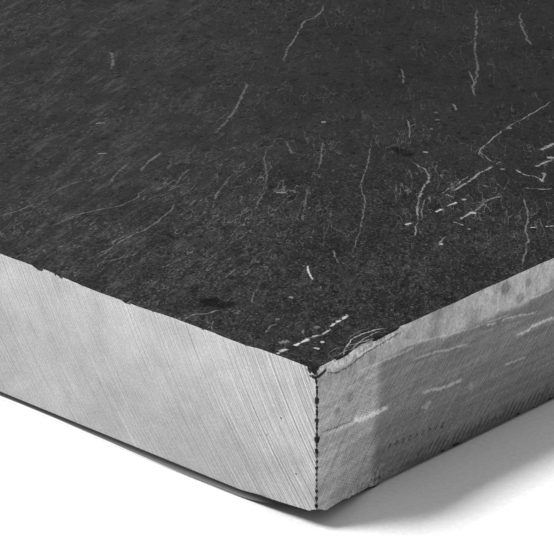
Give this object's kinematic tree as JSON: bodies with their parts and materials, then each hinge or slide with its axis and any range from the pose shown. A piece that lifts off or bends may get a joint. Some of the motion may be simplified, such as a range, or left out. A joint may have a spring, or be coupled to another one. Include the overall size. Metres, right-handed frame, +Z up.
{
  "type": "slate slab",
  "caption": "Flat rectangular slab of dark slate, split rough above and below, with sawn sides, worn arrises and one worn corner.",
  "frame": {"origin": "on the plane the slab rests on, under the middle of its outline", "axes": "+X along the front sawn side towards the worn corner, +Y from the front side to the back one, +Z up through the thickness"},
  "size_m": [0.4, 0.3, 0.0315],
  "materials": {
    "slate": "matte"
  },
  "bodies": {
    "root": {"slate_slab": "slate"}
  },
  "joints": []
}
